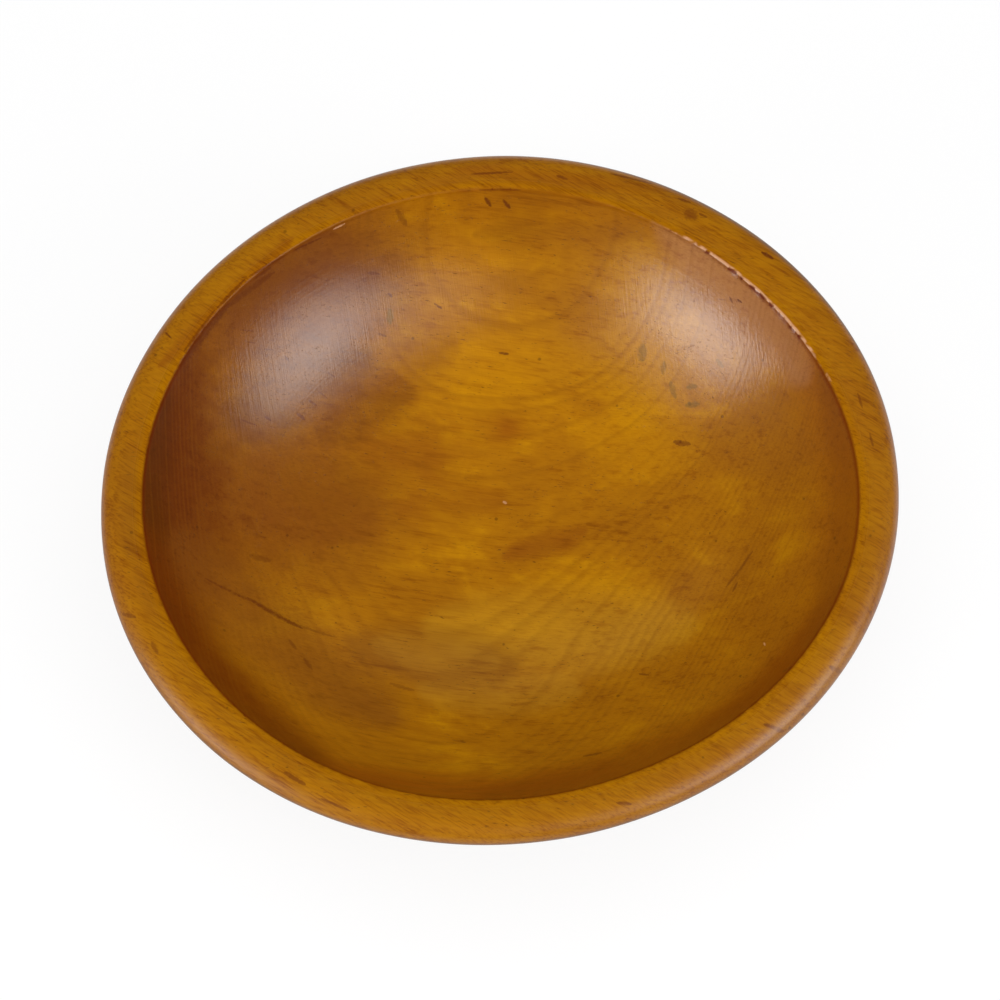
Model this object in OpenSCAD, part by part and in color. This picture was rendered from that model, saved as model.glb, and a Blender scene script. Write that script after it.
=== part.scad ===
// Turned wooden dough bowl, one piece of hardwood, in millimetres.
// X runs along the grain, Y across it and Z up. The foot stands on Z = 0, at the bowl's centre.

/* [Bowl] */
// Length over the rim, along the grain
bowl_length = 381; // [340:1:420]
// Width over the rim, across the grain, less than the length because the wood has shrunk
bowl_width = 352; // [320:1:400]
// Height from the foot to the crest of the rim
bowl_height = 98; // [88:1:112]

/* [Rim] */
// Width of the rim, from its inner corner to its widest line
rim_width = 20.5; // [16:0.5:25]
// Width of the rounding between the crest and the widest line
shoulder_width = 8; // [5:0.5:12]
// Height of that rounding, above and below the widest line
shoulder_height = 7; // [4:0.5:10]
// How much flatter the outside is than the wall inside, in degrees, where they meet the rim
rim_taper = 13; // [8:1:18]
// Fall of the rim's top from its crest to its inner corner
corner_drop = 1; // [0.5:0.1:2.5]
// Radius that wear has put on the inner corner
corner_round = 1.5; // [0.5:0.1:3]

/* [Hollow] */
// Thickness of the wood under the middle of the hollow
floor_thickness = 18; // [12:1:24]
// Length of the dished floor, along the grain
floor_length = 160; // [120:1:200]
// Rise of the floor from its middle to its edge
floor_rise = 10; // [6:0.5:13]

/* [Foot] */
// Length of the flat foot, along the grain
foot_length = 152; // [120:1:190]
// Chamfer round the foot's edge
foot_chamfer = 1.5; // [0.5:0.5:3]

/* [Hidden] */
$fn = 180;
wood_colour = "#a5700f";
long_steps = 24;  // straight runs in each long curve of the outline
short_steps = 8;  // straight runs in each short one
quarters = 4;
quarter_turn = 360 / quarters;
overrun = 5;      // how far a cut reaches past what it cuts
rim_r = bowl_length / 2;
foot_r = foot_length / 2;
across_grain = bowl_width / bowl_length;  // the lathe made a round bowl, which shrank this much in Y
shoulder_z = bowl_height - shoulder_height;
shoulder_centre_r = rim_r - shoulder_width;

// Slope in degrees of the straight line from p to q
function slope(p, q) = atan2(q[1] - p[1], q[0] - p[0]);

// Circular arc from p to q that leaves p at the slope start
function arc_to(p, q, start, steps) =
    let (half_turn = slope(p, q) - start, radius = norm(q - p) / 2 / sin(half_turn))
    [for (i = [0:steps]) let (a = start + 2 * half_turn * i / steps)
        p + radius * [sin(a) - sin(start), cos(start) - cos(a)]];

// Slope at one end of such an arc, from the slope at the other
function end_slope(p, q, start) = 2 * slope(p, q) - start;

// Rounding of the given radius that starts at p and bends from the slope start down to finish
function bend(p, start, finish, radius, steps) =
    [for (i = [0:steps]) let (a = start + (finish - start) * i / steps)
        p + radius * [sin(start) - sin(a), cos(a) - cos(start)]];

// Point of the shoulder's oval, t degrees below the crest
function shoulder_at(t) =
    [shoulder_centre_r + shoulder_width * sin(t), shoulder_z + shoulder_height * cos(t)];

// The hollow: a gently dished floor, then a wall that steepens up to the rim
floor_middle = [0, floor_thickness];
floor_edge = [floor_length / 2, floor_thickness + floor_rise];
floor_edge_slope = end_slope(floor_middle, floor_edge, 0);
corner = [rim_r - rim_width, bowl_height - corner_drop];
crest = [shoulder_centre_r, bowl_height];
wall_slope = end_slope(floor_edge, corner, floor_edge_slope);
land_slope = 2 * slope(corner, crest);
wear = corner_round * tan((wall_slope - land_slope) / 2);
wall_top = corner - wear * [cos(wall_slope), sin(wall_slope)];
worn_corner = bend(wall_top, wall_slope, land_slope, corner_round, short_steps);
worn_end = worn_corner[short_steps];

// The outside: a rounded shoulder that turns in under the widest line, then one curve to the foot
under_slope = wall_slope - rim_taper;
shoulder_turn = atan2(shoulder_height, shoulder_width * tan(under_slope));
shoulder_end = shoulder_at(90 + shoulder_turn);
foot_edge = [foot_r + foot_chamfer, foot_chamfer];
foot_slope = end_slope(foot_edge, shoulder_end, under_slope);

// Half of the bowl's cross-section, from the axis outwards. It runs on below the foot's plane.
module half_section() {
    floor_curve = arc_to(floor_middle, floor_edge, 0, short_steps);
    wall_curve = arc_to(floor_edge, wall_top, floor_edge_slope, long_steps);
    rim_top = arc_to(worn_end, crest, 2 * slope(worn_end, crest), short_steps);
    shoulder = [for (i = [1:short_steps]) shoulder_at(90 * i / short_steps)];
    under = [for (i = [1:short_steps]) shoulder_at(90 + shoulder_turn * i / short_steps)];
    body_curve = arc_to(foot_edge, shoulder_end, foot_slope, long_steps);
    polygon(concat(
        floor_curve,
        [for (i = [1:long_steps]) wall_curve[i]],
        [for (i = [1:short_steps]) worn_corner[i]],
        [for (i = [1:short_steps]) rim_top[i]],
        shoulder,
        under,
        [for (i = [1:long_steps]) body_curve[long_steps - i]],
        [[foot_r, 0], [foot_r, -overrun], [0, -overrun]]
    ));
}

// The bowl as the lathe left it, round, in quarter turns
module turned_blank() {
    for (i = [1:quarters]) rotate([0, 0, i * quarter_turn])
        rotate_extrude(angle = quarter_turn) half_section();
}

// The whole bowl, shrunk across the grain, with its foot cut flat
module bowl() {
    color(wood_colour) difference() {
        scale([1, across_grain, 1]) turned_blank();
        translate([-foot_r - overrun, -foot_r - overrun, -2 * overrun])
            cube([foot_length + 2 * overrun, foot_length + 2 * overrun, 2 * overrun]);
    }
}

bowl();
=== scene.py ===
import math

import bpy
import numpy as np
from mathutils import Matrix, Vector, noise
from mathutils.bvhtree import BVHTree


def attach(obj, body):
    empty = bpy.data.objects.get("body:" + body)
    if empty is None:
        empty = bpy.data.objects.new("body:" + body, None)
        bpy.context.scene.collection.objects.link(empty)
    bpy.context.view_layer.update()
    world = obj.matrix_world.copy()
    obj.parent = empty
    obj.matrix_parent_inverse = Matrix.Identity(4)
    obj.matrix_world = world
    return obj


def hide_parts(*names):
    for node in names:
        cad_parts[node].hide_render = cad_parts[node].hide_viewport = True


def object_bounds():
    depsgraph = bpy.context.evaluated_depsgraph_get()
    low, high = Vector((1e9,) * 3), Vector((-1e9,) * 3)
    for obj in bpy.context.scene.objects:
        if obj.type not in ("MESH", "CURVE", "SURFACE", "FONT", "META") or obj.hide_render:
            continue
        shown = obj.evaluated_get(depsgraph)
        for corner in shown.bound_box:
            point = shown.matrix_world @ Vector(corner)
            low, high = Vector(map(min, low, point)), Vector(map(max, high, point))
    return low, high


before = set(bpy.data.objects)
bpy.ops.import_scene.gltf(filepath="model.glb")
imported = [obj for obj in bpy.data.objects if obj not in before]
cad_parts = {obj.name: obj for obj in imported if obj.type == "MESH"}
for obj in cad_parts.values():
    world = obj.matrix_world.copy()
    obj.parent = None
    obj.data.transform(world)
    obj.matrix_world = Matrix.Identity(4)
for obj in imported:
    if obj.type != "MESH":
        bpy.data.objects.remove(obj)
cadLow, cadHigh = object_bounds()
scene = bpy.context.scene
print("frame loaded, bowl box", [round(v, 4) for v in (*cadLow, *cadHigh)])

mm = 0.001                                  # one millimetre in scene units
quarterTurn = math.pi / 2
pictureSize = 1000                          # pixels each way in the main picture


def hexToLinear(code):                      # sRGB hex, as read, to linear light
    channels = [int(code[i:i + 2], 16) / 255 for i in (1, 3, 5)]
    linear = [c / 12.92 if c <= 0.04045 else ((c + 0.055) / 1.055) ** 2.4 for c in channels]
    return (*linear, 1.0)


smooth = {"interpolation_type": "SMOOTHSTEP"}    # for Map Range, so that nothing starts with a hard line


def addNode(tree, kind, *inputs, **named):
    # inputs fill the sockets in turn, and the named ones are properties or further sockets. A node or
    # a socket among them is linked, a hex code becomes a linear colour, and the rest is set as it is
    node = tree.nodes.new("ShaderNode" + kind)
    for name in [n for n in named if hasattr(node, n)]:
        setattr(node, name, named.pop(name))
    sockets = {s.name: s for s in reversed(list(node.inputs)) if s.enabled}    # the first of each name
    sockets.update(enumerate(node.inputs))
    for key, value in (*enumerate(inputs), *named.items()):
        if isinstance(value, bpy.types.Node):
            value = next(s for s in value.outputs if s.enabled)
        if isinstance(value, bpy.types.NodeSocket):
            tree.links.new(value, sockets[key])
        else:
            sockets[key].default_value = hexToLinear(value) if isinstance(value, str) else value
    return node


# The camera stands in front of the bowl and looks steeply down into it
view = {
    "aim": (-1.6, -12.0, 98.0),             # point on the rim's plane at the picture's centre, mm
    "distance": 1100.0,                     # from that point to the lens, mm
    "azimuth": -9.12,                       # degrees, to the left of straight in front
    "elevation": 68.59,                     # degrees above the table
    "lens": 83.77,                          # mm on a 36 mm sensor
    "sensor": 36.0,
}


def directionTo(azimuth, elevation):        # unit vector towards a side and a height, in degrees
    azimuth, elevation = math.radians(azimuth), math.radians(elevation)
    return Vector((math.sin(azimuth) * math.cos(elevation),
                   -math.cos(azimuth) * math.cos(elevation),
                   math.sin(elevation)))


def addFacing(name, data, place, back):     # a camera or a lamp, which looks the opposite way to back
    thing = bpy.data.objects.new(name, data)
    thing.location = place
    thing.rotation_mode = "QUATERNION"
    thing.rotation_quaternion = (-back).to_track_quat("-Z", "Y")
    scene.collection.objects.link(thing)
    return thing


def placeCamera():
    camera = bpy.data.cameras.new("camera")
    camera.sensor_width = view["sensor"]
    camera.lens = view["lens"]
    back = directionTo(view["azimuth"], view["elevation"])
    place = (Vector(view["aim"]) + back * view["distance"]) * mm
    scene.camera = addFacing("camera", camera, place, back)


placeCamera()
mmPerPixel = view["distance"] * view["sensor"] / view["lens"] / pictureSize
print("camera placed")

# The bowl's cross-section, in mm, and how finely its mesh follows it
bowl = {
    "rimWidth": 20.5,                       # inner corner to widest line
    "shoulderWidth": 12.0,                  # worn rounder than the solid's
    "shoulderHeight": 8.0,
    "rimTaper": 13.0,                       # degrees
    "cornerDrop": 1.0,
    "floorThickness": 18.0,
    "floorLength": 160.0,
    "floorRise": 10.0,
    "footLength": 152.0,
    "footChamfer": 1.5,
    "spokes": 960,                          # sections round the bowl
    "floorSteps": 10,
    "wallSteps": 34,
    "wallCrowding": 1.5,                    # more than 1 sets the steps closer near the corner
    "cornerSteps": 8,
    "landSteps": 9,
    "landCrowding": 1.4,
    "shoulderSteps": 11,
    "bodySteps": 15,
}
# What a century of use did to it
wear = {
    "rimLobes": [(3, 0.96, -25)],           # count, mm, degrees: the oval is a little three-sided
    "cornerWaves": [(0, -1.0, 0), (1, 1.8, -118), (2, 1.7, -40), (3, 0.7, -21), (4, 0.8, -17)],
    "cornerRound": 2.0,                     # mm, radius of the inner corner
    # degrees, half width in degrees, and how much rounder in mm
    "softCorners": [(-152, 24, 2.6), (84, 30, 2.5), (-60, 60, 1.2), (30, 30, -0.9)],
    "chipped": (30, 30),                    # degrees, half width of the chipped stretch
    "chipDepth": 0.7,                       # mm
    "chipLength": 5.0,                      # mm
    "chipLevel": 0.12,                      # a higher one leaves less of the stretch whole
    "chipReach": 2.2,                       # mm to each side of the corner
    "chipSeed": 9.0,
    "ragged": 0.22,                         # mm, fibre ends torn along the corner
    "raggedNoise": [(4.0, 1.0, 3.0), (4.0 / 3, 0.6, 5.0)],    # length in mm, share, seed
    "raggedReach": 1.3,                     # mm to each side of the corner
    "biteDrop": 0.5,                        # how far a bitten point sinks, of how far it moves out
    "waviness": 0.22,                       # mm, hand-scraped hollows in the wall
    "wavinessLength": 46.0,                 # mm
    "wavinessSeed": (3.1, 7.7, 1.3),
    "wavinessHeights": (4.0, 18.0),         # mm above the table, from none to full
    # radius, depth and half width in mm
    "footRings": [(66, 0.35, 1.1), (52, 0.2, 1.0), (24, 0.3, 1.2), (9, 0.25, 1.0)],
}
rimRadius = (cadHigh.x - cadLow.x) / 2 / mm
acrossGrain = (cadHigh.y - cadLow.y) / (cadHigh.x - cadLow.x)
bowlHeight = cadHigh.z / mm
footRadius = bowl["footLength"] / 2
shoulderZ = bowlHeight - bowl["shoulderHeight"]


def slopeOf(p, q):
    return math.atan2(q[1] - p[1], q[0] - p[0])


def arcPoints(p, q, start, shares):         # circular arc from p to q that leaves p at the slope start
    halfTurn = slopeOf(p, q) - start
    radius = math.dist(p, q) / 2 / math.sin(halfTurn)
    turns = start + 2 * halfTurn * shares
    return np.column_stack((p[0] + radius * (np.sin(turns) - math.sin(start)),
                            p[1] + radius * (math.cos(start) - np.cos(turns))))


def waves(table, angle):
    return sum(size * math.cos(count * (angle - math.radians(phase))) for count, size, phase in table)


def nearness(angle, centre, halfWidth):     # 1 at the centre angle, fading to 0 at the half width
    gap = abs((math.degrees(angle) - centre + 180) % 360 - 180) / halfWidth
    return 0.5 + 0.5 * math.cos(math.pi * min(gap, 1.0))


def lineNoise(angle, radius, length, seed):  # smooth noise along a circle, -1 to 1
    spot = Vector((math.cos(angle), math.sin(angle), 0)) * radius / length
    return noise.noise(spot + Vector((0, 0, seed)))


def outsidePoints(crest, wallSlope):        # the rounded shoulder, and the body down to the foot
    underSlope = wallSlope - math.radians(bowl["rimTaper"])
    turn = math.atan2(bowl["shoulderHeight"], bowl["shoulderWidth"] * math.tan(underSlope))
    shoulder = np.linspace(0, quarterTurn + turn, bowl["shoulderSteps"] + 1)
    shoulderArc = np.column_stack((crest[0] + bowl["shoulderWidth"] * np.sin(shoulder),
                                   shoulderZ + bowl["shoulderHeight"] * np.cos(shoulder)))
    shoulderEnd = tuple(shoulderArc[-1])
    footEdge = (footRadius + bowl["footChamfer"], bowl["footChamfer"])
    footSlope = 2 * slopeOf(footEdge, shoulderEnd) - underSlope
    body = arcPoints(footEdge, shoulderEnd, footSlope, np.linspace(1, 0, bowl["bodySteps"] + 1))
    return np.vstack((shoulderArc[1:], body[1:]))


def footPoints():                           # the flat foot, inwards, with the lathe's shallow rings
    radii = [footRadius]
    for ring, _, halfWidth in wear["footRings"]:
        radii += [ring + halfWidth, ring, ring - halfWidth]
    depths = {ring: depth for ring, depth, _ in wear["footRings"]}
    return np.array([(r, depths.get(r, 0.0)) for r in radii])


def edgeBite(angle, cornerRadius, fromCorner):
    # how far each point is bitten out, by fibre ends torn along the corner and by chips in its stretch
    torn = sum(share * lineNoise(angle, cornerRadius, length, seed)
               for length, share, seed in wear["raggedNoise"])
    chip = lineNoise(angle, cornerRadius, wear["chipLength"], wear["chipSeed"])
    chip = max(0.0, chip + wear["chipLevel"]) * nearness(angle, *wear["chipped"])
    bite = wear["ragged"] * torn * np.exp(-(fromCorner / wear["raggedReach"]) ** 2)
    return bite + wear["chipDepth"] * chip * np.exp(-(fromCorner / wear["chipReach"]) ** 2)


def sectionAt(angle):
    # Half section from the hollow's middle over the rim to the foot's middle, and each point's
    # distance along it from the inner corner
    cornerRadius = rimRadius - bowl["rimWidth"] + waves(wear["cornerWaves"], angle)
    rounding = wear["cornerRound"]
    rounding += sum(nearness(angle, c, w) * more for c, w, more in wear["softCorners"])
    corner = (cornerRadius, bowlHeight - bowl["cornerDrop"])
    crest = (rimRadius - bowl["shoulderWidth"], bowlHeight)
    middle = (0.0, bowl["floorThickness"])
    floorEdge = (bowl["floorLength"] / 2, bowl["floorThickness"] + bowl["floorRise"])
    floorSlope = 2 * slopeOf(middle, floorEdge)
    wallSlope = 2 * slopeOf(floorEdge, corner) - floorSlope
    landSlope = 2 * slopeOf(corner, crest)
    cut = rounding * math.tan((wallSlope - landSlope) / 2)
    wallTop = (corner[0] - cut * math.cos(wallSlope), corner[1] - cut * math.sin(wallSlope))
    bend = wallSlope + (landSlope - wallSlope) * np.linspace(0, 1, bowl["cornerSteps"] + 1)
    cornerArc = np.column_stack((wallTop[0] + rounding * (math.sin(wallSlope) - np.sin(bend)),
                                 wallTop[1] + rounding * (np.cos(bend) - math.cos(wallSlope))))
    wornEnd = tuple(cornerArc[-1])
    wallShares = 1 - (1 - np.linspace(0, 1, bowl["wallSteps"] + 1)) ** bowl["wallCrowding"]
    landShares = np.linspace(0, 1, bowl["landSteps"] + 1) ** bowl["landCrowding"]
    points = np.vstack((
        arcPoints(middle, floorEdge, 0.0, np.linspace(0, 1, bowl["floorSteps"] + 1)[1:]),
        arcPoints(floorEdge, wallTop, floorSlope, wallShares[1:]),
        cornerArc[1:],
        arcPoints(wornEnd, crest, 2 * slopeOf(wornEnd, crest), landShares[1:]),
        outsidePoints(crest, wallSlope),
        footPoints(),
    ))
    lengths = np.concatenate(([0.0], np.cumsum(np.hypot(*np.diff(points, axis=0).T))))
    cornerRow = bowl["floorSteps"] + bowl["wallSteps"] + bowl["cornerSteps"] // 2 - 1
    fromCorner = lengths[cornerRow] - lengths
    bite = edgeBite(angle, cornerRadius, fromCorner)
    points[:, 0] += bite
    points[:, 1] -= wear["biteDrop"] * bite
    return points, fromCorner


def smoothStep(x):
    x = np.clip(x, 0.0, 1.0)
    return x * x * (3 - 2 * x)


def sweepSections():
    # every section round the bowl, widened by the rim's lobes and narrowed across the grain, with the
    # distances from the inner corner and the share of chipping there
    rings, depths, wornEdge = [], [], []
    for i in range(bowl["spokes"]):
        angle = 2 * math.pi * i / bowl["spokes"]
        points, depth = sectionAt(angle)
        lift = smoothStep((points[:, 1] - bowl["floorThickness"]) / (shoulderZ - bowl["floorThickness"]))
        radius = points[:, 0] + waves(wear["rimLobes"], angle) * lift
        rings.append(np.column_stack((radius * math.cos(angle),
                                      acrossGrain * radius * math.sin(angle),
                                      points[:, 1])))
        depths.append(depth)
        wornEdge.append(np.full(len(depth), nearness(angle, *wear["chipped"])))
    return np.array(rings), np.ravel(depths), np.ravel(wornEdge)


def scrapedUneven(vertices):                # moved out and in by a slow noise, but not at the foot
    seed = Vector(wear["wavinessSeed"])
    swell = np.array([noise.noise(Vector(v) / wear["wavinessLength"] + seed) for v in vertices])
    outward = vertices * (1, 1, 0)
    outward /= np.linalg.norm(outward, axis=1, keepdims=True)
    low, high = wear["wavinessHeights"]
    share = smoothStep((vertices[:, 2] - low) / (high - low))[:, None]
    return vertices + outward * (wear["waviness"] * swell)[:, None] * share


def buildBowl():
    grid, depths, wornEdge = sweepSections()
    spokes, rows = grid.shape[:2]
    vertices = scrapedUneven(grid.reshape(-1, 3))
    hollowMiddle = len(vertices)
    footMiddle = hollowMiddle + 1
    vertices = np.vstack((vertices, (0, 0, bowl["floorThickness"]), (0, 0, 0)))
    faces = []
    for i in range(spokes):
        a, b = i * rows, (i + 1) % spokes * rows
        faces.append((hollowMiddle, a, b))
        faces += [(a + k, a + k + 1, b + k + 1, b + k) for k in range(rows - 1)]
        faces.append((a + rows - 1, footMiddle, b + rows - 1))
    mesh = bpy.data.meshes.new("bowl_wood")
    mesh.from_pydata((vertices * mm).tolist(), [], faces)
    mesh.polygons.foreach_set("use_smooth", [True] * len(mesh.polygons))
    # the middles of the hollow and of the foot lie far past every zone
    for name, values, middles in (("fromCorner", depths, (bowl["floorLength"], -bowl["floorLength"])),
                                  ("wornEdge", wornEdge, (0, 0))):
        attribute = mesh.attributes.new(name, "FLOAT", "POINT")
        attribute.data.foreach_set("value", np.append(values, middles).astype(np.float32))
    mesh.update()
    piece = bpy.data.objects.new("bowl_turned", mesh)
    scene.collection.objects.link(piece)
    print("bowl built,", len(mesh.polygons), "faces")
    return piece


turnedBowl = buildBowl()

# Hard maple, turned, stained by a century of oil and amber varnish. To the eye it is a deep
# golden brown with low-contrast growth rings, short dark pores, redder end grain and a satin coat.
woodFinish = {
    "honey": "#ac7007",                     # clear wood under the varnish, in the hollow
    "rimHoney": "#9f6704",
    "gold": "#c68c04",                      # the palest wood
    "toast": "#8f5606",                     # where it took more stain
    "outside": "#96600a",
    "endGrain": "#6e3208",
    "latewood": "#7c4708",
    "pore": "#3f1c06",
    "streak": "#bf9a86",                    # what a dark streak leaves of the colour under it
    "underEdgeGrimeAndShade": "#883a00",                 # grime and painted shade below the inner corner
    "edgeLineGrimeAndShade": "#642204",                  # and the darkest of that grime and painted shade, close to the corner
    "turnedUnderGrimeAndShade": "#5d3a0c",               # grime and painted shade where the rim turns under
    "bareWoodAndGlint": "#be8c66",                  # where the edge has lost its varnish, and a painted highlight on its chipped stretch
    "chip": "#5a1a0a",                      # the dark bed of a chip
    "pith": (-56.0, -24.0, 205.0),          # point on the tree's centre line, above the bowl, mm
    "fibreTurn": -16.0,                     # degrees about Z, from the bowl's long axis
    "fibreDip": 4.5,                        # degrees down towards +X
    "strokeTurn": -24.0,                    # degrees, more than the fibres: scraper's strokes on the rim
    "ringSpacing": 1.9,                     # mm, one year's growth
    "ringWarp": 2.2,                        # mm that the rings waver
    "blotchSwirl": 0.4,                     # how far the blotches are stirred
    "mottleInEdges": 0.8,                   # how much mottle and blotch make the stains' edges uneven
    "blotchInEdges": 0.5,
    "combing": 2.2,                         # mm that the rim's fibres are combed over the corner
    "combedBack": 1.3,                      # mm that they start back from it
    "streaksOutside": 0.35,                 # how much more the outside is streaked
    "bareByWear": 0.4,                      # how much the wear adds to the bare places
    "chipByWear": -0.22,                    # and takes from what withstands the chipping
    "speckSpacing": 7.0,                    # mm between places where a speck can be
    "speckSize": 0.17,                      # largest radius, as a share of that
    "markHalfWidth": 0.6,                   # of a mark's written width, as its edge fades
    "markRaggedness": 2.0,                  # of its edge, as for the stains
    "turningPitch": 0.9,                    # mm between the gouge's marks
    "turningLength": 60.0,                  # mm that such a mark keeps its depth
    "reliefDepth": 0.07,                    # mm, of a relief share of 1
    "awayFromHands": (0.8, -0.6, 0.0),      # direction in which the rim kept its varnish
    "dullLine": 0.5,                        # mm from the inner corner out to the line that lost its coat
    "ior": 1.5,                             # dried oil varnish
}

# The noises that the pattern is mixed from: patch lengths in mm along X, Y and Z, octaves, and the
# strength of each finer octave. Those of the wood itself have X along its fibres
patterns = {
    "ringWarp": ((95.0, 34.0, 34.0), 3.0, 0.55),
    "blotch": ((61.2, 34.0, 34.0), 7.0, 0.66),
    "mottle": ((22.5, 9.0, 9.0), 6.0, 0.68),
    "streak": ((34.0, 2.6, 2.6), 4.0, 0.65),
    "fibre": ((16.0, 0.75, 0.75), 2.0, 0.6),      # real fibres are finer, drawn as coarse as shows
    "pore": ((3.4, 0.6, 0.6), 1.0, 0.5),
    "flake": ((4.0, 4.0, 4.0), 2.0, 0.5),         # of varnish, along the worn corner
    "crumb": ((1.5, 1.5, 1.5), 3.0, 0.7),         # ragged edges of the marks
    "peel": ((1.3, 1.3, 1.3), 2.0, 0.5),          # grain of the varnish's skin
    "scraper": ((0.7, 18.0, 18.0), 3.0, 0.65),    # lines that a scraper left in the hollow
}

# How a part of the pattern comes in: the two values that it runs between, and its amount at each
fades = {
    # by the distance from the inner corner in mm, into the hollow above 0 and over the rim below 0
    "hollow": (-0.4, 1.9, 0.0, 1.0),
    "outside": (-27.0, -40.0, 0.0, 1.0),
    # grime and painted shade, below the inner corner
    "grimeAndShade": (1.0, 42.0, 0.5, 0.0),
    "fibresOnRim": (0.5, 0.0, 0.25, 0.6),
    "dulled": (0.0, -8.0, 0.18, 0.36),      # roughness of the coat, rubbed by hands on the rim
    "rubbed": (0.0, -12.0, 0.0, 1.0),
    "coatUnderRim": (-17.0, -25.0, 1.0, 0.15),
    "besideCorner": (1.2, 3.5, 0.2, 1.0),
    # by the place in mm
    "front": (60.0, 130.0, 1.0, 0.35),      # grime and painted shade, from the middle to the back, where less shade is painted
    "polish": (60.0, 160.0, 0.25, 0.75),    # coat on the rim, from the held side to the other
    # by the noises, and by what is mixed from them
    "toastInBlotch": (0.36, 0.68, 0.0, 0.65),
    "toastInMottle": (0.5, 0.75, 0.0, 0.6),
    "gold": (0.5, 0.3, 0.0, 0.6),
    "ringsInMottle": (0.3, 0.65, 0.35, 0.28),
    "streaksInBlotch": (0.35, 0.65, 0.15, 0.55),
    "streak": (0.48, 0.72, 0.0, 1.0),
    "fibre": (0.42, 0.72, 0.0, 1.0),
    "poreCrowding": (0.35, 0.72, 0.74, 0.63),
    "pore": (0.0, 0.06, 0.0, 0.55),
    "roughness": (0.3, 0.7, 0.28, 0.4),     # worn satin varnish
    "bareFlakes": (0.6, 0.85, 0.0, 1.0),
    "chipFlakes": (0.32, 0.22, 0.0, 1.0),
    "speckChance": (0.72, 1.0, 0.0, 1.0),
    "speckEdge": (0.0, 0.09, 0.0, 0.5),
    # by the share of something else
    "endGrain": (0.3, 1.0, 0.0, 0.4),
    "bareStretch": (0.0, 0.35, 0.0, 1.0),
    "ringsOutside": (0.0, 1.0, 1.0, 2.6),
    "coatInChips": (0.0, 0.4, 1.0, 0.1),
    "undercoat": (0.0, 1.0, 0.2, 0.1),      # specular level of the wood under the varnish, outwards
}

# Bands: where each starts, is full, begins to fade and ends, and its strength
bands = {
    "latewood": (0.15, 0.75, 0.72, 1.0, 1.0),           # share of a year's growth
    "rim": (0.5, 0.0, -25.0, -27.0, 1.0),               # the rest in mm from the inner corner
    # painted shade with grime, as a dark line below the inner corner
    "edgeLineGrimeAndShade": (0.0, 1.2, 1.4, 4.0, 0.6),
    # painted shade with grime, where the rim turns under
    "turnedUnderGrimeAndShade": (-21.0, -25.0, -29.0, -36.0, 0.75),
    # pale bare wood along the chipped corner, partly a painted highlight
    "bareAndGlint": (-1.3, -0.5, 0.2, 0.8, 1.0),
    "chip": (-0.4, 0.3, 1.2, 2.4, 0.85),
}

# How deep each part of the fine relief is, as a share. The pores have 1
reliefShares = {
    "turning": 0.5,
    "fibres": 0.3,
    "scraper": 1.1,
    "peel": 0.35,
    "rings": 0.25,
}

# Stains, and among them a painted highlight and painted sheens: middle and half sizes in pixels of
# the main picture, turn in degrees anticlockwise, colour, strength, and how ragged the edge is
hollowStains = {
    "upper left heartwood": (((298, 285), (184, 170), 0), "#6c3612", 0.85, 1.0),
    "left floor": (((265, 500), (190, 165), 0), "#763e0e", 0.85, 0.9),
    "left middle": (((405, 455), (80, 75), 0), "#85480a", 0.6, 1.2),
    "under left highlight": (((300, 388), (105, 74), 25), "#5a2c12", 0.6, 1.0),
    "gold upper": (((462, 262), (62, 50), 0), "#b47604", 0.5, 1.0),
    "left middle edge": (((366, 410), (66, 44), 25), "#6a3608", 0.6, 1.4),
    "middle": (((450, 505), (66, 40), 5), "#85480a", 0.45, 1.4),
    "left wall": (((162, 485), (132, 195), 0), "#521804", 0.95, 0.6),
    "left wall edge": (((144, 475), (56, 160), 0), "#380c02", 0.9, 0.8),
    "lower left wall": (((228, 660), (178, 96), -55), "#5c1c00", 0.98, 0.7),
    "lower left floor": (((285, 630), (165, 90), -40), "#784412", 0.7, 0.9),
    "near wall": (((470, 800), (310, 88), 0), "#8c3c00", 0.85, 0.7),
    "near wall patch": (((622, 754), (170, 96), 18), "#762c00", 0.85, 1.0),
    "lower right wall": (((766, 692), (152, 68), 50), "#722e00", 0.9, 0.8),
    "right wall": (((826, 520), (56, 160), 0), "#784208", 0.65, 0.8),
    "gold middle": (((510, 370), (120, 75), 0), "#bc8002", 0.5, 0.9),
    "gold right": (((640, 440), (85, 60), -10), "#b87c04", 0.6, 0.9),
    "gold column": (((640, 330), (85, 120), 0), "#bc8204", 0.55, 0.9),
    # paler wood with a painted sheen, low in the hollow
    "gold low with painted sheen": (((560, 625), (150, 75), 0), "#bb8618", 0.65, 0.8),
    "gold near": (((500, 690), (90, 45), 0), "#b07a18", 0.7, 0.8),
    # paler wood and a painted highlight, where the right highlight reaches the inner corner
    "pale wood and painted highlight right wall": (((735, 295), (125, 62), -50), "#b98658", 0.5, 0.6),
    "red patch": (((506, 430), (34, 34), 10), "#8b4a06", 0.75, 1.0),
    "brown patch": (((545, 544), (50, 26), 18), "#85480a", 0.7, 1.2),
    "edge of heartwood": (((385, 380), (96, 54), 30), "#7c4408", 0.45, 2.0),
    "upper middle": (((560, 235), (90, 26), 0), "#86500a", 0.45, 1.4),
    "top edge": (((535, 197), (90, 10), -6), "#84440a", 0.6, 1.2),
    "island": (((432, 655), (98, 56), -8), "#7c4a0c", 0.5, 0.9),
    "island middle": (((436, 652), (72, 38), -8), "#a8741a", 0.55, 0.9),
}
rimStains = {
    "top rim": (((560, 180), (110, 15), -6), "#8a4e05", 0.6, 1.2),
    "upper left rim": (((420, 190), (90, 14), 18), "#90560a", 0.5, 1.2),
    "upper left inner rim": (((226, 302), (95, 15), 44), "#864806", 0.6, 1.2),
    "left rim": (((126, 500), (20, 60), 0), "#8a560c", 0.5, 1.2),
    # a painted sheen, tinted violet, on the lower right rim
    "painted sheen lower right rim": (((800, 710), (150, 22), 45), "#93621c", 0.45, 1.0),
}
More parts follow.
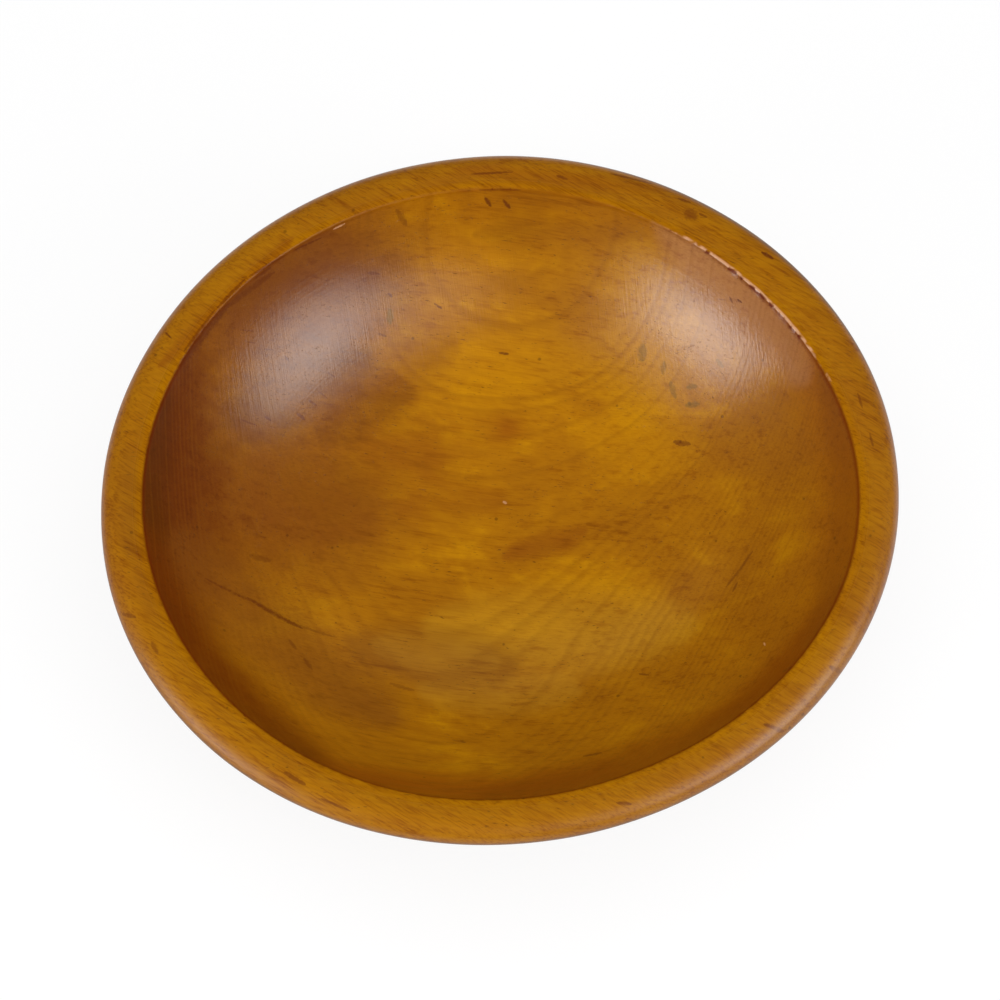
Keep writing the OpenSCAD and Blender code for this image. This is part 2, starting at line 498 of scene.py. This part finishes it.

# Marks given one by one: the two ends and the width in pixels of the main picture, and strength
marks = {
    "dark": {
        "rim cluster": ((688, 213), (693, 216), 14, 0.6),
        "rim cluster left": ((680, 199), (689, 202), 5, 0.6),
        "rim cluster right": ((700, 214), (706, 217), 3, 0.7),
        "rim star": ((763, 253), (772, 258), 5, 0.9),
        "dot pair left": ((486, 199), (490, 205), 5, 0.8),
        "dot pair right": ((504, 201), (509, 207), 5, 0.8),
        "top streak": ((472, 174), (512, 172), 3, 0.7),
        "top streak right": ((480, 190), (520, 190), 3, 0.55),
        "rim dash": ((558, 176), (566, 179), 4, 0.7),
        "outer streak": ((612, 174), (652, 184), 4, 0.6),
        "rim squiggle": ((858, 394), (862, 407), 3, 0.6),
        "rim squiggle low": ((870, 434), (873, 446), 3, 0.6),
        "edge spot": ((398, 212), (405, 223), 8, 0.45),
        "rim crack": ((388, 177), (400, 190), 2, 0.8),
        "edge shade": ((184, 362), (226, 308), 13, 0.7),
        "edge shade upper": ((226, 308), (272, 274), 9, 0.6),
        "edge line a": ((185, 350), (214, 311), 4, 0.6),
        "edge line b": ((218, 307), (244, 280), 4, 0.65),
        "edge line c": ((250, 276), (286, 255), 4, 0.6),
        "fleck 1": ((717, 299), (726, 300), 1.6, 0.5),
        "fleck 2": ((730, 298), (732, 302), 3, 0.7),
        "fleck 3": ((738, 300), (741, 302), 3, 0.9),
        "centre dash": ((500, 353), (508, 354), 3, 0.8),
        "brown spot": ((676, 442), (688, 444), 7, 0.6),
        "crack left": ((207, 579), (257, 603), 5, 0.7),
        "crack middle": ((250, 599), (300, 627), 7, 0.75),
        "crack right": ((290, 622), (335, 637), 4, 0.45),
        "ring spot": ((243, 518), (252, 526), 12, 0.3),
        "dark patch": ((252, 556), (268, 560), 8, 0.4),
        "wall spot": ((290, 641), (295, 648), 5, 0.5),
        "wall spot low": ((305, 660), (311, 668), 6, 0.5),
        "floor dash": ((640, 674), (648, 675), 3, 0.6),
        "island spot": ((392, 684), (412, 690), 6, 0.4),
        "scratch": ((727, 586), (752, 552), 4, 0.5),
        "scratch beside": ((733, 591), (737, 583), 3, 0.6),
        "inner edge spot": ((784, 671), (791, 667), 5, 0.8),
        "wall scar": ((585, 756), (600, 753), 5, 0.7),
        "near rim streak": ((286, 773), (304, 784), 5, 0.65),
        "near rim scratch": ((322, 799), (350, 811), 3, 0.6),
        "left rim spot": ((124, 614), (134, 617), 5, 0.6),
        "left rim spot low": ((152, 643), (157, 652), 5, 0.45),
        "right rim squiggle": ((766, 725), (782, 731), 6, 0.7),
        "right rim patch": ((832, 668), (842, 673), 7, 0.6),
        "near right rim": ((618, 803), (630, 804), 4, 0.6),
        "edge chips": ((295, 250), (321, 238), 3, 0.75),
        "edge chips low": ((256, 278), (270, 268), 4, 0.6),
        "outer nick": ((166, 333), (171, 338), 2.5, 0.9),
        "dash a": ((298, 414), (304, 419), 4, 0.7),
        "dash b": ((310, 401), (316, 405), 3, 0.6),
        "dash c": ((379, 334), (386, 336), 3, 0.5),
        "dash d": ((435, 304), (441, 308), 3, 0.7),
        "dot e": ((389, 294), (391, 296), 4, 0.7),
        "squiggle": ((369, 273), (378, 274), 4, 0.55),
        "tick b": ((241, 330), (252, 331), 2, 0.55),
        "tick c": ((248, 342), (255, 343), 2, 0.5),
        "tick e": ((264, 349), (273, 350), 2, 0.5),
        "tick f": ((242, 420), (256, 425), 2.5, 0.55),
        "tick g": ((266, 417), (270, 420), 3, 0.7),
        "tick h": ((285, 356), (288, 360), 2.5, 0.65),
        "tick i": ((328, 373), (335, 377), 2, 0.6),
        "tick j": ((318, 391), (327, 398), 2, 0.5),
    },
    "pale": {
        "chip upper left": ((334, 229), (344, 224), 2.5, 0.7),
        "speck centre": ((504, 502), (506, 503), 3, 0.6),
        "speck right": ((764, 643), (765, 645), 2, 0.6),
    },
    "olive": {
        "drop 1": ((390, 312), (390, 321), 9, 0.6),
        "drop 2": ((643, 348), (642, 358), 11, 0.55),
        "drop 3": ((664, 364), (663, 372), 7, 0.5),
        "drop 4": ((671, 384), (675, 396), 7, 0.5),
        "drop 5": ((689, 387), (695, 386), 7, 0.6),
        "drop 6": ((688, 405), (697, 404), 8, 0.6),
        "drop 7": ((718, 361), (722, 366), 6, 0.5),
    },
}
markColours = {"dark": "#5a2408", "olive": "#6d4f14", "pale": "#c99a70"}


inwardStep = 0.05                           # of the way to a spot's middle, for a focus off the bowl


def pictureToBowl(bowlTree, u, v):          # the place on the bowl that a pixel of the picture shows
    scale = view["sensor"] / view["lens"] / pictureSize
    way = Vector(((u - pictureSize / 2) * scale, (pictureSize / 2 - v) * scale, -1))
    way.rotate(scene.camera.rotation_quaternion)
    hit = bowlTree.ray_cast(scene.camera.location, way)[0]
    return hit / mm if hit else None


def perLength(sizes):                       # factors that make each of these lengths in mm one unit
    return tuple(1 / size for size in sizes)


def noiseOf(tree, place, name, **more):     # one of the patterns, over coordinates in mm
    sizes, octaves, finer = patterns[name]
    scaled = addNode(tree, "VectorMath", place, perLength(sizes), operation="MULTIPLY")
    return addNode(tree, "TexNoise", scaled, Scale=1.0, Detail=octaves, Roughness=finer, **more)


def bandOf(tree, value, name):              # its strength inside the band, 0 outside, with soft edges
    start, full, fading, end, strength = bands[name]
    rise = addNode(tree, "MapRange", value, start, full, 0.0, 1.0, **smooth)
    fall = addNode(tree, "MapRange", value, fading, end, strength, 0.0, **smooth)
    return addNode(tree, "Math", rise, fall, operation="MULTIPLY")


def spotMask(tree, point, bowlTree, spot, strength, uneven, ragged):
    # An ellipse drawn on the picture becomes a spheroid about two foci on the bowl. The mask is
    # strength between the foci and falls to 0 at the skin, which the uneven noise makes ragged
    middle, halves, turn = spot
    if halves[0] < halves[1]:
        halves, turn = halves[::-1], turn + 90
    way = Vector((math.cos(math.radians(turn)), -math.sin(math.radians(turn))))
    reach = math.sqrt(halves[0] ** 2 - halves[1] ** 2)
    foci = []
    for side in (-1, 1):
        at = Vector(middle) + way * side * reach
        while not pictureToBowl(bowlTree, *at):
            at += (Vector(middle) - at) * inwardStep
        foci.append(pictureToBowl(bowlTree, *at))
    apart = (foci[1] - foci[0]).length
    around = 2 * math.hypot(apart / 2, halves[1] * mmPerPixel)    # sum of the two distances at the skin
    first, second = [addNode(tree, "VectorMath", point, tuple(focus), operation="DISTANCE")
                     for focus in foci]
    total = addNode(tree, "Math", uneven, ragged * (around - apart), first, operation="MULTIPLY_ADD")
    total = addNode(tree, "Math", total, second, operation="ADD")
    skin = apart + (around - apart) * (1 + ragged / 2)
    return addNode(tree, "MapRange", total, skin, skin - (around - apart), 0.0, strength, **smooth)


def growthRings(tree, fibre):
    # years by the distance from the tree's centre line, warped a little, each with its own tone
    warp = noiseOf(tree, fibre, "ringWarp")
    flat = addNode(tree, "VectorMath", fibre, (0, 1, 1), operation="MULTIPLY")
    distance = addNode(tree, "VectorMath", flat, operation="LENGTH")
    warped = addNode(tree, "Math", warp, woodFinish["ringWarp"], distance, operation="MULTIPLY_ADD")
    years = addNode(tree, "Math", warped, woodFinish["ringSpacing"], operation="DIVIDE")
    season = addNode(tree, "Math", years, operation="FRACT")
    year = addNode(tree, "Math", years, operation="FLOOR")
    yearTone = addNode(tree, "TexWhiteNoise", noise_dimensions="1D", W=year)
    return addNode(tree, "Math", bandOf(tree, season, "latewood"), yearTone, operation="MULTIPLY")


def fibresAndPores(tree, fibre, fromCorner, mottle):
    # on the rim, strokes of a scraper, a little askew, take the place of the fibres
    onRim = bandOf(tree, fromCorner, "rim")
    askew = addNode(tree, "VectorRotate", fibre, rotation_type="Z_AXIS",
                    Angle=math.radians(-woodFinish["strokeTurn"]))
    brushed = addNode(tree, "Mix", onRim, A=fibre, B=askew, data_type="VECTOR")
    streaks = noiseOf(tree, brushed, "streak")
    fibres = noiseOf(tree, brushed, "fibre")
    pores = noiseOf(tree, fibre, "pore")
    crowding = addNode(tree, "MapRange", mottle, *fades["poreCrowding"], **smooth)
    pores = addNode(tree, "Math", pores, crowding, operation="SUBTRACT")
    return streaks, fibres, addNode(tree, "MapRange", pores, *fades["pore"], **smooth)


def endGrain(tree, normal):                 # where the surface cuts across the fibres
    turn, dip = math.radians(woodFinish["fibreTurn"]), math.radians(woodFinish["fibreDip"])
    fibreWay = (math.cos(dip) * math.cos(turn), math.cos(dip) * math.sin(turn), -math.sin(dip))
    across = addNode(tree, "VectorMath", normal, fibreWay, operation="DOT_PRODUCT")
    across = addNode(tree, "Math", across, operation="ABSOLUTE")
    return addNode(tree, "MapRange", across, *fades["endGrain"], **smooth)


def stained(tree, colour, stains, point, bowlTree, uneven):
    for spot, code, strength, ragged in stains.values():
        mask = spotMask(tree, point, bowlTree, spot, strength, uneven, ragged)
        colour = addNode(tree, "Mix", mask, A=colour, B=code, data_type="RGBA")
    return colour


def grained(tree, colour, fromCorner, outside, noises):
    # growth rings, then streaks and fibres, which multiply the colour under them, then pores
    blotch, mottle, ringTone, streaks, fibres, pores = noises
    share = addNode(tree, "MapRange", mottle, *fades["ringsInMottle"], **smooth)
    share = addNode(tree, "Math", ringTone, share, operation="MULTIPLY")
    clearer = addNode(tree, "MapRange", outside, *fades["ringsOutside"], **smooth)
    share = addNode(tree, "Math", share, clearer, operation="MULTIPLY")
    colour = addNode(tree, "Mix", share, A=colour, B=woodFinish["latewood"], data_type="RGBA")
    patchy = addNode(tree, "MapRange", blotch, *fades["streaksInBlotch"], **smooth)
    patchy = addNode(tree, "Math", outside, woodFinish["streaksOutside"], patchy, operation="MULTIPLY_ADD")
    streaked = addNode(tree, "MapRange", streaks, *fades["streak"], **smooth)
    streaked = addNode(tree, "Math", streaked, patchy, operation="MULTIPLY")
    fibrous = addNode(tree, "MapRange", fibres, *fades["fibre"], **smooth)
    onRim = addNode(tree, "MapRange", fromCorner, *fades["fibresOnRim"], **smooth)
    fibrous = addNode(tree, "Math", fibrous, onRim, operation="MULTIPLY")
    share = addNode(tree, "Math", streaked, fibrous, operation="ADD")
    colour = addNode(tree, "Mix", share, A=colour, B=woodFinish["streak"],
                     data_type="RGBA", blend_type="MULTIPLY")
    return addNode(tree, "Mix", pores, A=colour, B=woodFinish["pore"], data_type="RGBA")


def wornCorner(tree, colour, point, fromCorner):
    # the stretch of the inner corner where the varnish is chipped through; its pale bare wood is also a
    # painted highlight of that edge
    wornEdge = addNode(tree, "Attribute", attribute_name="wornEdge").outputs["Fac"]
    flaking = noiseOf(tree, point, "flake")
    bareAndGlint = bandOf(tree, fromCorner, "bareAndGlint")
    stretch = addNode(tree, "MapRange", wornEdge, *fades["bareStretch"], **smooth)
    bareAndGlint = addNode(tree, "Math", bareAndGlint, stretch, operation="MULTIPLY")
    flakes = addNode(tree, "Math", wornEdge, woodFinish["bareByWear"], flaking, operation="MULTIPLY_ADD")
    flakes = addNode(tree, "MapRange", flakes, *fades["bareFlakes"], **smooth)
    bareAndGlint = addNode(tree, "Math", bareAndGlint, flakes, operation="MULTIPLY")
    colour = addNode(tree, "Mix", bareAndGlint, A=colour, B=woodFinish["bareWoodAndGlint"], data_type="RGBA")
    chips = bandOf(tree, fromCorner, "chip")
    flakes = addNode(tree, "Math", wornEdge, woodFinish["chipByWear"], flaking, operation="MULTIPLY_ADD")
    flakes = addNode(tree, "MapRange", flakes, *fades["chipFlakes"], **smooth)
    chips = addNode(tree, "Math", chips, flakes, operation="MULTIPLY")
    colour = addNode(tree, "Mix", chips, A=colour, B=woodFinish["chip"], data_type="RGBA")
    return colour, wornEdge, chips


def specked(tree, colour, point):           # few specks, and small
    spacing = woodFinish["speckSpacing"]
    scaled = addNode(tree, "VectorMath", point, perLength((spacing,) * 3), operation="MULTIPLY")
    cells = addNode(tree, "TexVoronoi", scaled, Scale=1.0)
    chance = addNode(tree, "SeparateColor", cells.outputs["Color"]).outputs["Red"]
    radius = addNode(tree, "MapRange", chance, *fades["speckChance"], **smooth)
    radius = addNode(tree, "Math", radius, woodFinish["speckSize"], operation="MULTIPLY")
    specks = addNode(tree, "Math", radius, cells.outputs["Distance"], operation="SUBTRACT")
    specks = addNode(tree, "MapRange", specks, *fades["speckEdge"], **smooth)
    return addNode(tree, "Mix", specks, A=colour, B=woodFinish["pore"], data_type="RGBA")


def marked(tree, colour, point, bowlTree):
    crumbs = noiseOf(tree, point, "crumb")
    for kind, strokes in marks.items():
        whole = None
        for start, end, width, strength in strokes.values():
            start, end = Vector(start), Vector(end)
            way = end - start
            halves = ((way.length + width) / 2, woodFinish["markHalfWidth"] * width)
            spot = ((start + end) / 2, halves, math.degrees(math.atan2(-way.y, way.x)))
            mask = spotMask(tree, point, bowlTree, spot, strength, crumbs, woodFinish["markRaggedness"])
            whole = addNode(tree, "Math", whole, mask, operation="MAXIMUM") if whole else mask
        colour = addNode(tree, "Mix", whole, A=colour, B=markColours[kind], data_type="RGBA")
    return colour


def fineRelief(tree, point, inside, fibres, pores, ringTone):
    # turning marks are fine rings round the bowl's axis
    parts = addNode(tree, "SeparateXYZ", point)
    x, y = parts.outputs["X"], parts.outputs["Y"]
    yRound = addNode(tree, "Math", y, acrossGrain, operation="DIVIDE")
    level = addNode(tree, "CombineXYZ", x, yRound)
    radius = addNode(tree, "VectorMath", level, operation="LENGTH")
    pitch, length = woodFinish["turningPitch"], woodFinish["turningLength"]
    turnedAt = addNode(tree, "CombineXYZ", *[addNode(tree, "Math", part, size, operation="DIVIDE")
                                             for part, size in ((radius, pitch), (x, length), (y, length))])
    turning = addNode(tree, "TexNoise", turnedAt, Scale=1.0)
    peel = noiseOf(tree, point, "peel")
    scraping = noiseOf(tree, point, "scraper")
    height = addNode(tree, "Math", turning, reliefShares["turning"], operation="MULTIPLY")
    height = addNode(tree, "Math", fibres, reliefShares["fibres"], height, operation="MULTIPLY_ADD")
    share = addNode(tree, "Math", inside, reliefShares["scraper"], operation="MULTIPLY")
    height = addNode(tree, "Math", scraping, share, height, operation="MULTIPLY_ADD")
    height = addNode(tree, "Math", peel, reliefShares["peel"], height, operation="MULTIPLY_ADD")
    height = addNode(tree, "Math", height, pores, operation="SUBTRACT")
    height = addNode(tree, "Math", ringTone, reliefShares["rings"], height, operation="MULTIPLY_ADD")
    return addNode(tree, "Bump", Strength=1.0, Distance=woodFinish["reliefDepth"] * mm, Height=height)


def varnish(tree, point, fromCorner, outside, blotch, wornEdge, chips):
    # dulled by hands on the rim, less on the side away from where it was held, and mostly gone where
    # the rim turns under, along the inner corner beyond its chipped stretch, and in the chips
    away = addNode(tree, "VectorMath", point, woodFinish["awayFromHands"], operation="DOT_PRODUCT")
    polish = addNode(tree, "MapRange", away, *fades["polish"], **smooth)
    roughness = addNode(tree, "MapRange", blotch, *fades["roughness"], **smooth)
    dulled = addNode(tree, "MapRange", fromCorner, *fades["dulled"], **smooth)
    rubbed = addNode(tree, "MapRange", fromCorner, *fades["rubbed"], **smooth)
    coat = addNode(tree, "Mix", rubbed, A=1.0, B=polish)
    kept = addNode(tree, "MapRange", fromCorner, *fades["coatUnderRim"], **smooth)
    coat = addNode(tree, "Math", coat, kept, operation="MULTIPLY")
    beside = addNode(tree, "Math", fromCorner, woodFinish["dullLine"], operation="ADD")
    beside = addNode(tree, "Math", beside, operation="ABSOLUTE")
    beside = addNode(tree, "MapRange", beside, *fades["besideCorner"], **smooth)
    kept = addNode(tree, "Math", beside, wornEdge, operation="MAXIMUM")
    coat = addNode(tree, "Math", coat, kept, operation="MULTIPLY")
    kept = addNode(tree, "MapRange", chips, *fades["coatInChips"], **smooth)
    coat = addNode(tree, "Math", coat, kept, operation="MULTIPLY")
    wetted = addNode(tree, "MapRange", outside, *fades["undercoat"], **smooth)
    return {
        "Coat Weight": coat,
        "Coat Roughness": dulled,
        "Roughness": addNode(tree, "Math", roughness, dulled, operation="MAXIMUM"),
        "Specular IOR Level": addNode(tree, "Math", wetted, beside, operation="MULTIPLY"),
    }


def buildWood(bowlTree):
    material = bpy.data.materials.new("turned_maple_amber_varnish")
    material.use_nodes = True
    tree = material.node_tree
    tree.nodes.clear()
    place = addNode(tree, "TexCoord")
    point = addNode(tree, "VectorMath", place.outputs["Object"], operation="SCALE", Scale=1 / mm)
    turns = (0, math.radians(woodFinish["fibreDip"]), math.radians(woodFinish["fibreTurn"]))
    fibre = addNode(tree, "Mapping", point, vector_type="TEXTURE",
                    Location=woodFinish["pith"], Rotation=turns)
    fromCorner = addNode(tree, "Attribute", attribute_name="fromCorner").outputs["Fac"]
    ringTone = growthRings(tree, fibre)
    blotch = noiseOf(tree, fibre, "blotch", Distortion=woodFinish["blotchSwirl"])
    mottle = noiseOf(tree, fibre, "mottle")
    streaks, fibres, pores = fibresAndPores(tree, fibre, fromCorner, mottle)
    endShare = endGrain(tree, place.outputs["Normal"])

    # the hollow begins at the inner corner, with fibres of the rim combed over it
    combed = addNode(tree, "Math", fromCorner, woodFinish["combedBack"], operation="ADD")
    combed = addNode(tree, "Math", fibres, -woodFinish["combing"], combed, operation="MULTIPLY_ADD")
    inside = addNode(tree, "MapRange", combed, *fades["hollow"], **smooth)
    outside = addNode(tree, "MapRange", fromCorner, *fades["outside"], **smooth)

    # how much stain the wood took, and how uneven the edges of the placed stains are
    inBlotch = addNode(tree, "MapRange", blotch, *fades["toastInBlotch"], **smooth)
    inMottle = addNode(tree, "MapRange", mottle, *fades["toastInMottle"], **smooth)
    toasted = addNode(tree, "Math", inBlotch, inMottle, operation="MAXIMUM")
    uneven = addNode(tree, "Math", blotch, woodFinish["blotchInEdges"], operation="MULTIPLY")
    uneven = addNode(tree, "Math", mottle, woodFinish["mottleInEdges"], uneven, operation="MULTIPLY_ADD")
    gold = addNode(tree, "MapRange", blotch, *fades["gold"], **smooth)

    rimColour = addNode(tree, "Mix", outside, A=woodFinish["rimHoney"], B=woodFinish["outside"],
                        data_type="RGBA")
    hollowColour = addNode(tree, "Mix", gold, A=woodFinish["honey"], B=woodFinish["gold"], data_type="RGBA")
    # grime and painted shade below the inner corner, fainter towards the back
    grimeAndShade = addNode(tree, "MapRange", fromCorner, *fades["grimeAndShade"], **smooth)
    towardsBack = addNode(tree, "SeparateXYZ", point).outputs["Y"]
    front = addNode(tree, "MapRange", towardsBack, *fades["front"], **smooth)
    grimeAndShade = addNode(tree, "Math", grimeAndShade, front, operation="MULTIPLY")
    hollowColour = addNode(tree, "Mix", grimeAndShade, A=hollowColour, B=woodFinish["underEdgeGrimeAndShade"], data_type="RGBA")
    rimColour = addNode(tree, "Mix", toasted, A=rimColour, B=woodFinish["toast"], data_type="RGBA")
    hollowColour = addNode(tree, "Mix", toasted, A=hollowColour, B=woodFinish["toast"], data_type="RGBA")
    hollowColour = stained(tree, hollowColour, hollowStains, point, bowlTree, uneven)
    rimColour = stained(tree, rimColour, rimStains, point, bowlTree, uneven)
    colour = addNode(tree, "Mix", inside, A=rimColour, B=hollowColour, data_type="RGBA")
    colour = addNode(tree, "Mix", endShare, A=colour, B=woodFinish["endGrain"], data_type="RGBA")
    noises = (blotch, mottle, ringTone, streaks, fibres, pores)
    colour = grained(tree, colour, fromCorner, outside, noises)

    # painted shade and grime: a dark line below the inner corner, and more where the rim turns under
    line = bandOf(tree, combed, "edgeLineGrimeAndShade")
    line = addNode(tree, "Math", line, front, operation="MULTIPLY")
    colour = addNode(tree, "Mix", line, A=colour, B=woodFinish["edgeLineGrimeAndShade"], data_type="RGBA")
    under = bandOf(tree, fromCorner, "turnedUnderGrimeAndShade")
    colour = addNode(tree, "Mix", under, A=colour, B=woodFinish["turnedUnderGrimeAndShade"], data_type="RGBA")
    colour, wornEdge, chips = wornCorner(tree, colour, point, fromCorner)
    colour = specked(tree, colour, point)
    colour = marked(tree, colour, point, bowlTree)

    relief = fineRelief(tree, point, inside, fibres, pores, ringTone)
    wood = addNode(tree, "BsdfPrincipled", **{
        "Base Color": colour,
        "IOR": woodFinish["ior"],
        "Coat IOR": woodFinish["ior"],
        "Normal": relief,
        "Coat Normal": relief,
        **varnish(tree, point, fromCorner, outside, blotch, wornEdge, chips),
    })
    addNode(tree, "OutputMaterial", Surface=wood)
    print("wood mixed,", len(tree.nodes), "nodes")
    return material


bowlMesh = turnedBowl.data
bowlTree = BVHTree.FromPolygons([v.co for v in bowlMesh.vertices],
                                [p.vertices for p in bowlMesh.polygons])
bowlMesh.materials.append(buildWood(bowlTree))
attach(turnedBowl, "root")
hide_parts("bowl")
print("wood finished")

# A white table, softboxes in front to the left and the right, a faint one behind and one overhead
studio = {
    "floorRadius": 12.0,                    # m
    "floorPoints": 96,
    "floorGap": 0.1,                        # mm below the foot
    "floorShade": "#f4f4f4",
    "glow": 0.85,                           # share of the table that shows as plain white
    "room": 0.15,                           # soft light from every side
    "overhead": (2.2, 3.0, 1.95),           # height m, width m, brightness of the lamp above
    "boxes": [
        # shape, azimuth, elevation, distance m, width m, height m, brightness, spread in degrees
        ("RECTANGLE", -66.0, 10.0, 1.6, 0.95, 1.5, 0.74, 64.0),
        ("RECTANGLE", -68.0, 37.0, 1.6, 0.9, 0.85, 0.86, 180.0),
        ("ELLIPSE", 50.0, 28.0, 1.6, 1.5, 0.95, 0.34, 58.0),
        ("ELLIPSE", 37.0, 42.0, 1.6, 2.0, 0.95, 0.71, 180.0),
        ("RECTANGLE", 180.0, 40.0, 1.6, 2.0, 0.5, 0.09, 180.0),
    ],
}


def seenShare(tree):                        # 1 for what the camera sees, straight or in metal or glass
    rays = addNode(tree, "LightPath")
    seen = addNode(tree, "Math", rays.outputs["Is Camera Ray"], rays.outputs["Is Glossy Ray"],
                   operation="ADD")
    return addNode(tree, "Math", seen, rays.outputs["Is Transmission Ray"], operation="ADD", use_clamp=True)


def addLamp(name, back, distance, size, brightness, shape="RECTANGLE", spread=180.0):
    lamp = bpy.data.lights.new(name, "AREA")
    lamp.shape = shape
    lamp.spread = math.radians(spread)      # a narrow one has a hot middle, as a softbox has
    lamp.size, lamp.size_y = size
    lamp.energy = brightness * math.pi * size[0] * size[1]    # watts for that radiance
    return addFacing(name, lamp, Vector((0, 0, bowlHeight * mm / 2)) + back * distance, back)


def buildTable():
    table = bpy.data.meshes.new("table")
    radius = studio["floorRadius"]
    turns = np.linspace(0, 2 * math.pi, studio["floorPoints"], endpoint=False)
    rim = [(radius * math.cos(a), radius * math.sin(a), -studio["floorGap"] * mm) for a in turns]
    table.from_pydata(rim, [], [range(len(rim))])
    floor = bpy.data.objects.new("table", table)
    scene.collection.objects.link(floor)
    material = bpy.data.materials.new("white_table")
    material.use_nodes = True
    tree = material.node_tree
    tree.nodes.clear()
    matt = addNode(tree, "BsdfDiffuse", Color=studio["floorShade"])
    white = addNode(tree, "Emission", Strength=1.0)
    share = addNode(tree, "Math", seenShare(tree), studio["glow"], operation="MULTIPLY")
    top = addNode(tree, "MixShader", share, matt, white)
    addNode(tree, "OutputMaterial", Surface=top)
    table.materials.append(material)


def buildRoom():
    world = bpy.data.worlds.new("room")
    world.use_nodes = True
    tree = world.node_tree
    tree.nodes.clear()
    seen = addNode(tree, "MapRange", seenShare(tree), 0.0, 1.0, studio["room"], 1.0)
    sky = addNode(tree, "Background", Strength=seen)
    addNode(tree, "OutputWorld", Surface=sky)
    world.cycles_visibility.glossy = False  # the dark studio that the varnish mirrors
    scene.world = world


def buildStudio():
    buildTable()
    buildRoom()
    for number, box in enumerate(studio["boxes"]):
        shape, azimuth, elevation, distance, width, height, brightness, spread = box
        back = directionTo(azimuth, elevation)
        addLamp(f"softbox_{number}", back, distance, (width, height), brightness, shape, spread)
    height, width, brightness = studio["overhead"]
    above = addLamp("overhead", Vector((0, 0, 1)), height, (width, width), brightness)
    above.visible_glossy = False            # behind a polariser, so that it doesn't veil the varnish
    above.data.cycles.use_multiple_importance_sampling = False


buildStudio()
scene.view_settings.view_transform = "Standard"
print("studio lit")
